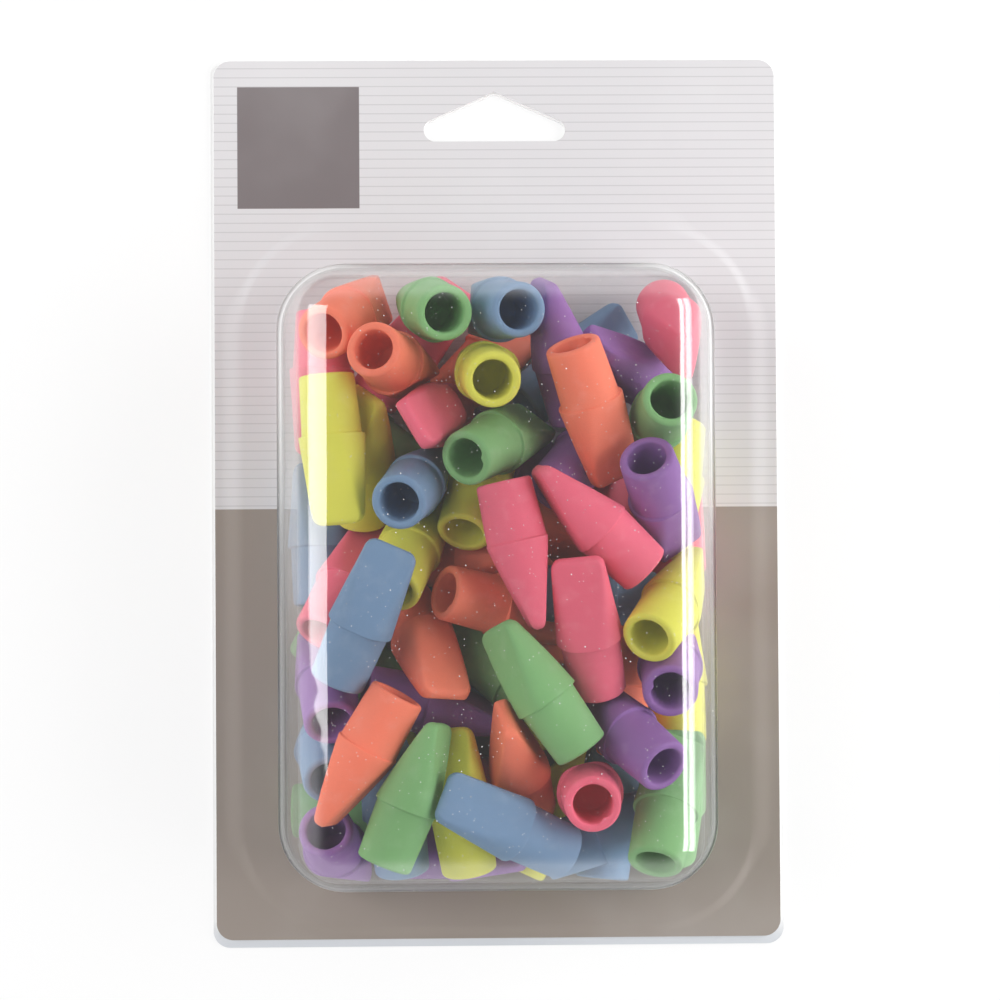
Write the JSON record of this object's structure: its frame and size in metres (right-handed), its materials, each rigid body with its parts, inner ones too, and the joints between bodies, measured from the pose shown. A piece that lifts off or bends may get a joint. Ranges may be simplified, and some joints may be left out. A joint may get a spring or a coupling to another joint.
{
  "type": "eraser cap blister pack",
  "caption": "Clear blister on a hang-hole card, holding a loose pile of wedge-shaped pencil eraser caps in assorted colours.",
  "frame": {"origin": "middle of the back card, on the surface that the pack lies on", "axes": "+X to the right of the printed face, +Y towards the hang hole, +Z out of the card towards the viewer"},
  "size_m": [0.1016, 0.1588, 0.0388],
  "materials": {
    "white_board": "plain white paperboard",
    "printed_board": "printed paperboard, satin varnish",
    "clear_sheet": "clear thermoformed sheet",
    "orange_rubber": "matte moulded eraser rubber",
    "pink_rubber": "matte moulded eraser rubber",
    "yellow_rubber": "matte moulded eraser rubber",
    "green_rubber": "matte moulded eraser rubber",
    "blue_rubber": "matte moulded eraser rubber",
    "purple_rubber": "matte moulded eraser rubber"
  },
  "bodies": {
    "root": {"back_card": "white_board", "front_card": "printed_board", "blister": "clear_sheet", "orange_cap_1": "orange_rubber", "orange_cap_2": "orange_rubber", "orange_cap_3": "orange_rubber", "orange_cap_4": "orange_rubber", "orange_cap_5": "orange_rubber", "orange_cap_6": "orange_rubber", "orange_cap_7": "orange_rubber", "orange_cap_8": "orange_rubber", "orange_caps_buried": "orange_rubber", "pink_cap_1": "pink_rubber", "pink_cap_2": "pink_rubber", "pink_cap_3": "pink_rubber", "pink_cap_4": "pink_rubber", "pink_cap_5": "pink_rubber", "pink_cap_6": "pink_rubber", "pink_cap_7": "pink_rubber", "pink_cap_8": "pink_rubber", "pink_caps_buried": "pink_rubber", "yellow_cap_1": "yellow_rubber", "yellow_cap_2": "yellow_rubber", "yellow_cap_3": "yellow_rubber", "yellow_cap_4": "yellow_rubber", "yellow_cap_5": "yellow_rubber", "yellow_cap_6": "yellow_rubber", "yellow_cap_7": "yellow_rubber", "yellow_cap_8": "yellow_rubber", "yellow_caps_buried": "yellow_rubber", "green_cap_1": "green_rubber", "green_cap_2": "green_rubber", "green_cap_3": "green_rubber", "green_cap_4": "green_rubber", "green_cap_5": "green_rubber", "green_cap_6": "green_rubber", "green_cap_7": "green_rubber", "green_cap_8": "green_rubber", "green_caps_buried": "green_rubber", "blue_cap_1": "blue_rubber", "blue_cap_2": "blue_rubber", "blue_cap_3": "blue_rubber", "blue_cap_4": "blue_rubber", "blue_cap_5": "blue_rubber", "blue_cap_6": "blue_rubber", "blue_cap_7": "blue_rubber", "blue_cap_8": "blue_rubber", "blue_caps_buried": "blue_rubber", "purple_cap_1": "purple_rubber", "purple_cap_2": "purple_rubber", "purple_cap_3": "purple_rubber", "purple_cap_4": "purple_rubber", "purple_cap_5": "purple_rubber", "purple_cap_6": "purple_rubber", "purple_cap_7": "purple_rubber", "purple_cap_8": "purple_rubber", "purple_caps_buried": "purple_rubber"}
  },
  "joints": []
}
